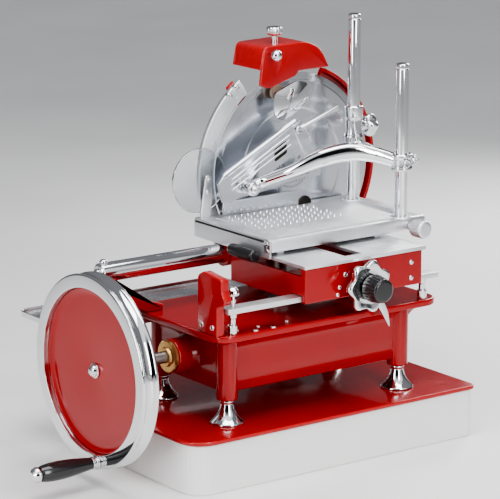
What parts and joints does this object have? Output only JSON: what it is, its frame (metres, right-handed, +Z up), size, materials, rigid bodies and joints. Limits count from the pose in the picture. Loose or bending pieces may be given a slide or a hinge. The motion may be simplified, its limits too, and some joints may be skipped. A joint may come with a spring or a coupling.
{
  "type": "meat slicer",
  "caption": "Hand-driven flywheel meat slicer with a sliding carriage, feed table, round blade, food clamp, sharpener and slice tray.",
  "frame": {"origin": "underside of the base plate, under the middle of the body casting", "axes": "+X along the machine away from the flywheel, +Y from the meat table towards the blade and tray, +Z up"},
  "size_m": [0.755, 0.4443, 0.6056],
  "materials": {
    "red_paint": "high-gloss stove enamel",
    "aluminium": "satin, anodised",
    "chrome": "mirror plated",
    "blade_steel": "turned and polished",
    "tray_steel": "bright satin stainless",
    "machined_steel": "machined, oiled",
    "black_plastic": "polished moulding",
    "black_oxide": "blackened, oiled",
    "grey_stone": "bonded grit",
    "clear_plastic": "clear, polished edge",
    "bronze": "machined bronze"
  },
  "bodies": {
    "frame": {"base_plate": "red_paint", "foot_front_left": "chrome", "foot_front_right": "chrome", "foot_rear_left": "chrome", "foot_rear_right": "chrome", "body_casting": "red_paint", "left_bracket": "red_paint", "tube_arm": "red_paint", "right_bracket": "red_paint", "slide_tube": "chrome", "tube_cap": "chrome", "rail_post_left": "chrome", "rail_post_right": "chrome", "front_rail": "aluminium", "shaft_bearing": "bronze", "drive_chain": "black_oxide", "ring_guard": "aluminium", "blade_housing": "red_paint", "chain_cover": "red_paint", "sharpener_housing": "red_paint", "stone_cover": "blade_steel"},
    "stop_pin": {"stop_pin": "chrome"},
    "flywheel": {"flywheel_rim": "chrome", "flywheel_disc": "red_paint", "hub_nut": "chrome", "handle_post": "chrome", "main_shaft": "machined_steel", "drive_pinion": "machined_steel"},
    "handle": {"handle_grip": "black_plastic"},
    "crank": {"crank_gear": "machined_steel", "crank_arm": "machined_steel"},
    "cross_shaft": {"cross_gear": "machined_steel", "cross_shaft": "machined_steel"},
    "blade": {"blade_shaft": "machined_steel", "blade": "blade_steel"},
    "grinder": {"grinding_stone": "grey_stone", "grinding_knob": "chrome"},
    "honer": {"honing_knob": "chrome", "honing_stone": "grey_stone"},
    "carriage": {"carriage_body": "red_paint", "carriage_plate": "aluminium", "drive_yoke": "machined_steel"},
    "roller": {"carriage_roller": "bronze"},
    "feed_screw": {"feed_screw": "machined_steel", "feed_handwheel": "chrome", "feed_knob": "black_plastic"},
    "feed_lever": {"feed_lever": "chrome"},
    "table": {"meat_table": "aluminium", "rear_post": "chrome", "front_post": "chrome", "table_comb": "blade_steel", "table_grip": "black_plastic", "hand_guard": "clear_plastic", "hand_guard_bracket": "aluminium"},
    "table_knob": {"table_knob": "aluminium"},
    "clamp": {"clamp_arm": "aluminium"},
    "clamp_knob": {"clamp_knob": "chrome"},
    "presser": {"presser_plate": "blade_steel", "link_rod": "chrome"},
    "tray": {"receiving_tray": "tray_steel"}
  },
  "joints": [
    {"name": "flywheel_spin", "type": "hinge", "parent": "frame", "child": "flywheel", "pos_m": [-0.346, 0, 0.095], "axis": [1, 0, 0], "continuous": true},
    {"name": "handle_spin", "type": "hinge", "parent": "flywheel", "child": "handle", "pos_m": [-0.346, -0.02002, -0.03585], "axis": [1, 0, 0], "continuous": true},
    {"name": "crank_spin", "type": "hinge", "parent": "frame", "child": "crank", "pos_m": [0, 0, 0.095], "axis": [0, 0, 1], "continuous": true},
    {"name": "cross_shaft_spin", "type": "hinge", "parent": "frame", "child": "cross_shaft", "pos_m": [0.133, 0, 0.095], "axis": [0, 1, 0], "continuous": true},
    {"name": "blade_spin", "type": "hinge", "parent": "frame", "child": "blade", "pos_m": [0.133, 0.148, 0.315], "axis": [0, 1, 0], "continuous": true},
    {"name": "carriage_slide", "type": "slide", "parent": "frame", "child": "carriage", "axis": [1, 0, 0], "range_m": [-0.1, 0.01]},
    {"name": "roller_spin", "type": "hinge", "parent": "carriage", "child": "roller", "pos_m": [0.11, -0.106, 0.1983], "axis": [0, 1, 0], "range_deg": [-478, 48]},
    {"name": "table_feed", "type": "slide", "parent": "carriage", "child": "table", "axis": [0, 1, 0], "range_m": [-0.13, 0]},
    {"name": "feed_screw_turn", "type": "hinge", "parent": "carriage", "child": "feed_screw", "pos_m": [0.052, -0.127, 0.1925], "axis": [0, 1, 0], "range_deg": [-1, 4682]},
    {"name": "feed_lever_turn", "type": "hinge", "parent": "carriage", "child": "feed_lever", "pos_m": [0.052, -0.135, 0.1925], "axis": [0, 1, 0], "range_deg": [-25, 25]},
    {"name": "table_knob_turn", "type": "hinge", "parent": "table", "child": "table_knob", "pos_m": [0.207, -0.055, 0.2468], "axis": [0, 1, 0], "range_deg": [-180, 180]},
    {"name": "clamp_slide", "type": "slide", "parent": "table", "child": "clamp", "axis": [0, 0, 1], "range_m": [-0.012, 0.06]},
    {"name": "clamp_knob_turn", "type": "hinge", "parent": "clamp", "child": "clamp_knob", "pos_m": [0.22, 0.103, 0.3768], "axis": [1, 0, 0], "range_deg": [-180, 180]},
    {"name": "presser_tilt", "type": "hinge", "parent": "clamp", "child": "presser", "pos_m": [0.012, 0.092, 0.3048], "axis": [0, 1, 0], "range_deg": [-8, 5]},
    {"name": "grinder_press", "type": "slide", "parent": "frame", "child": "grinder", "axis": [0, 0, 1], "range_m": [-0.008, 0], "stiffness_N_per_m": 800, "springref_m": 0.005},
    {"name": "honer_press", "type": "slide", "parent": "frame", "child": "honer", "axis": [0, 1, 0], "range_m": [0, 0.005], "stiffness_N_per_m": 600, "springref_m": -0.003},
    {"name": "stop_pin_lift", "type": "slide", "parent": "frame", "child": "stop_pin", "axis": [0, 0, 1], "range_m": [0, 0.006]},
    {"name": "tray_slide", "type": "slide", "parent": "frame", "child": "tray", "axis": [0, 1, 0], "range_m": [0, 0.06]}
  ],
  "couplings": [
    {"joint": "crank_spin", "follows": "flywheel_spin", "ratio": 1},
    {"joint": "cross_shaft_spin", "follows": "flywheel_spin", "ratio": 1},
    {"joint": "blade_spin", "follows": "flywheel_spin", "ratio": 2.4},
    {"joint": "roller_spin", "follows": "carriage_slide", "rad_per_m": 83.333},
    {"joint": "feed_screw_turn", "follows": "table_feed", "rad_per_m": -628.32}
  ]
}
